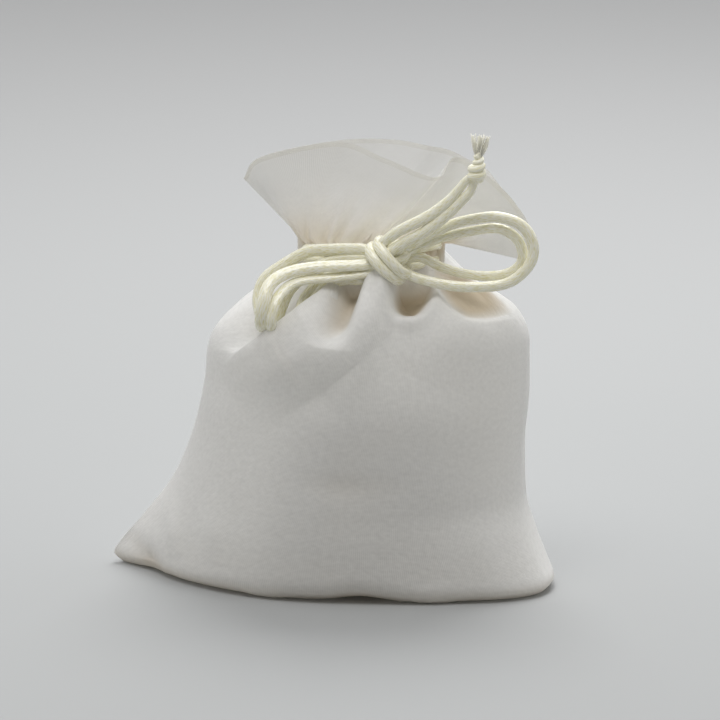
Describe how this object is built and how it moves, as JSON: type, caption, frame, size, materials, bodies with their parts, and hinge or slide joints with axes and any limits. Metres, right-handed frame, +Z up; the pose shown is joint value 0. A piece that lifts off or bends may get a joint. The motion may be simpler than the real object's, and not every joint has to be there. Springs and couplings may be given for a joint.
{
  "type": "drawstring gift pouch",
  "caption": "Filled sheer cloth gift pouch with a gathered neck, a flared mouth and doubled satin drawcords tied in a bow.",
  "frame": {"origin": "on the ground, under the middle of the pouch's bounding box", "axes": "+X to the right as the bow is seen, +Y to the back, +Z up from the ground to the mouth; the bow faces -Y"},
  "size_m": [0.1026, 0.057, 0.1084],
  "materials": {
    "voile": "sheer plain-weave voile with a faint sheen, white",
    "satin_cord": "ivory satin rattail cord, glossy along the fibres",
    "wadding": "matt white fibre wadding",
    "thread": "white sewing thread"
  },
  "bodies": {
    "pouch": {"front_panel": "voile", "back_panel": "voile", "filling": "wadding", "left_seam": "voile", "right_seam": "voile", "bottom_seam": "voile", "left_stitches": "thread", "right_stitches": "thread", "bottom_stitches": "thread", "front_hem": "voile", "back_hem": "voile", "front_channel": "voile", "back_channel": "voile", "channel_stitches": "thread", "left_drawcord": "satin_cord", "right_drawcord": "satin_cord", "bow_knot_core": "satin_cord", "bow_knot_wrap": "satin_cord", "left_tail_upper": "satin_cord", "left_tail_lower": "satin_cord", "left_end_knot": "satin_cord", "left_fringe": "satin_cord"},
    "right_loop": {"right_loop_outer": "satin_cord", "right_loop_inner": "satin_cord"},
    "left_loop": {"left_loop_outer": "satin_cord", "left_loop_inner": "satin_cord"},
    "right_tail": {"right_tail_upper": "satin_cord", "right_tail_lower": "satin_cord", "right_end_knot": "satin_cord", "right_fringe": "satin_cord"}
  },
  "joints": [
    {"name": "right_loop_swing", "type": "hinge", "parent": "pouch", "child": "right_loop", "pos_m": [0.0155, -0.0132, 0.077], "axis": [0, 1, 0], "range_deg": [-20, 10]},
    {"name": "left_loop_lift", "type": "hinge", "parent": "pouch", "child": "left_loop", "pos_m": [0.0155, -0.0132, 0.077], "axis": [0, 1, 0], "range_deg": [0, 35]},
    {"name": "right_tail_swing", "type": "hinge", "parent": "pouch", "child": "right_tail", "pos_m": [0.0155, -0.0132, 0.077], "axis": [0, 1, 0], "range_deg": [-20, 25]}
  ]
}
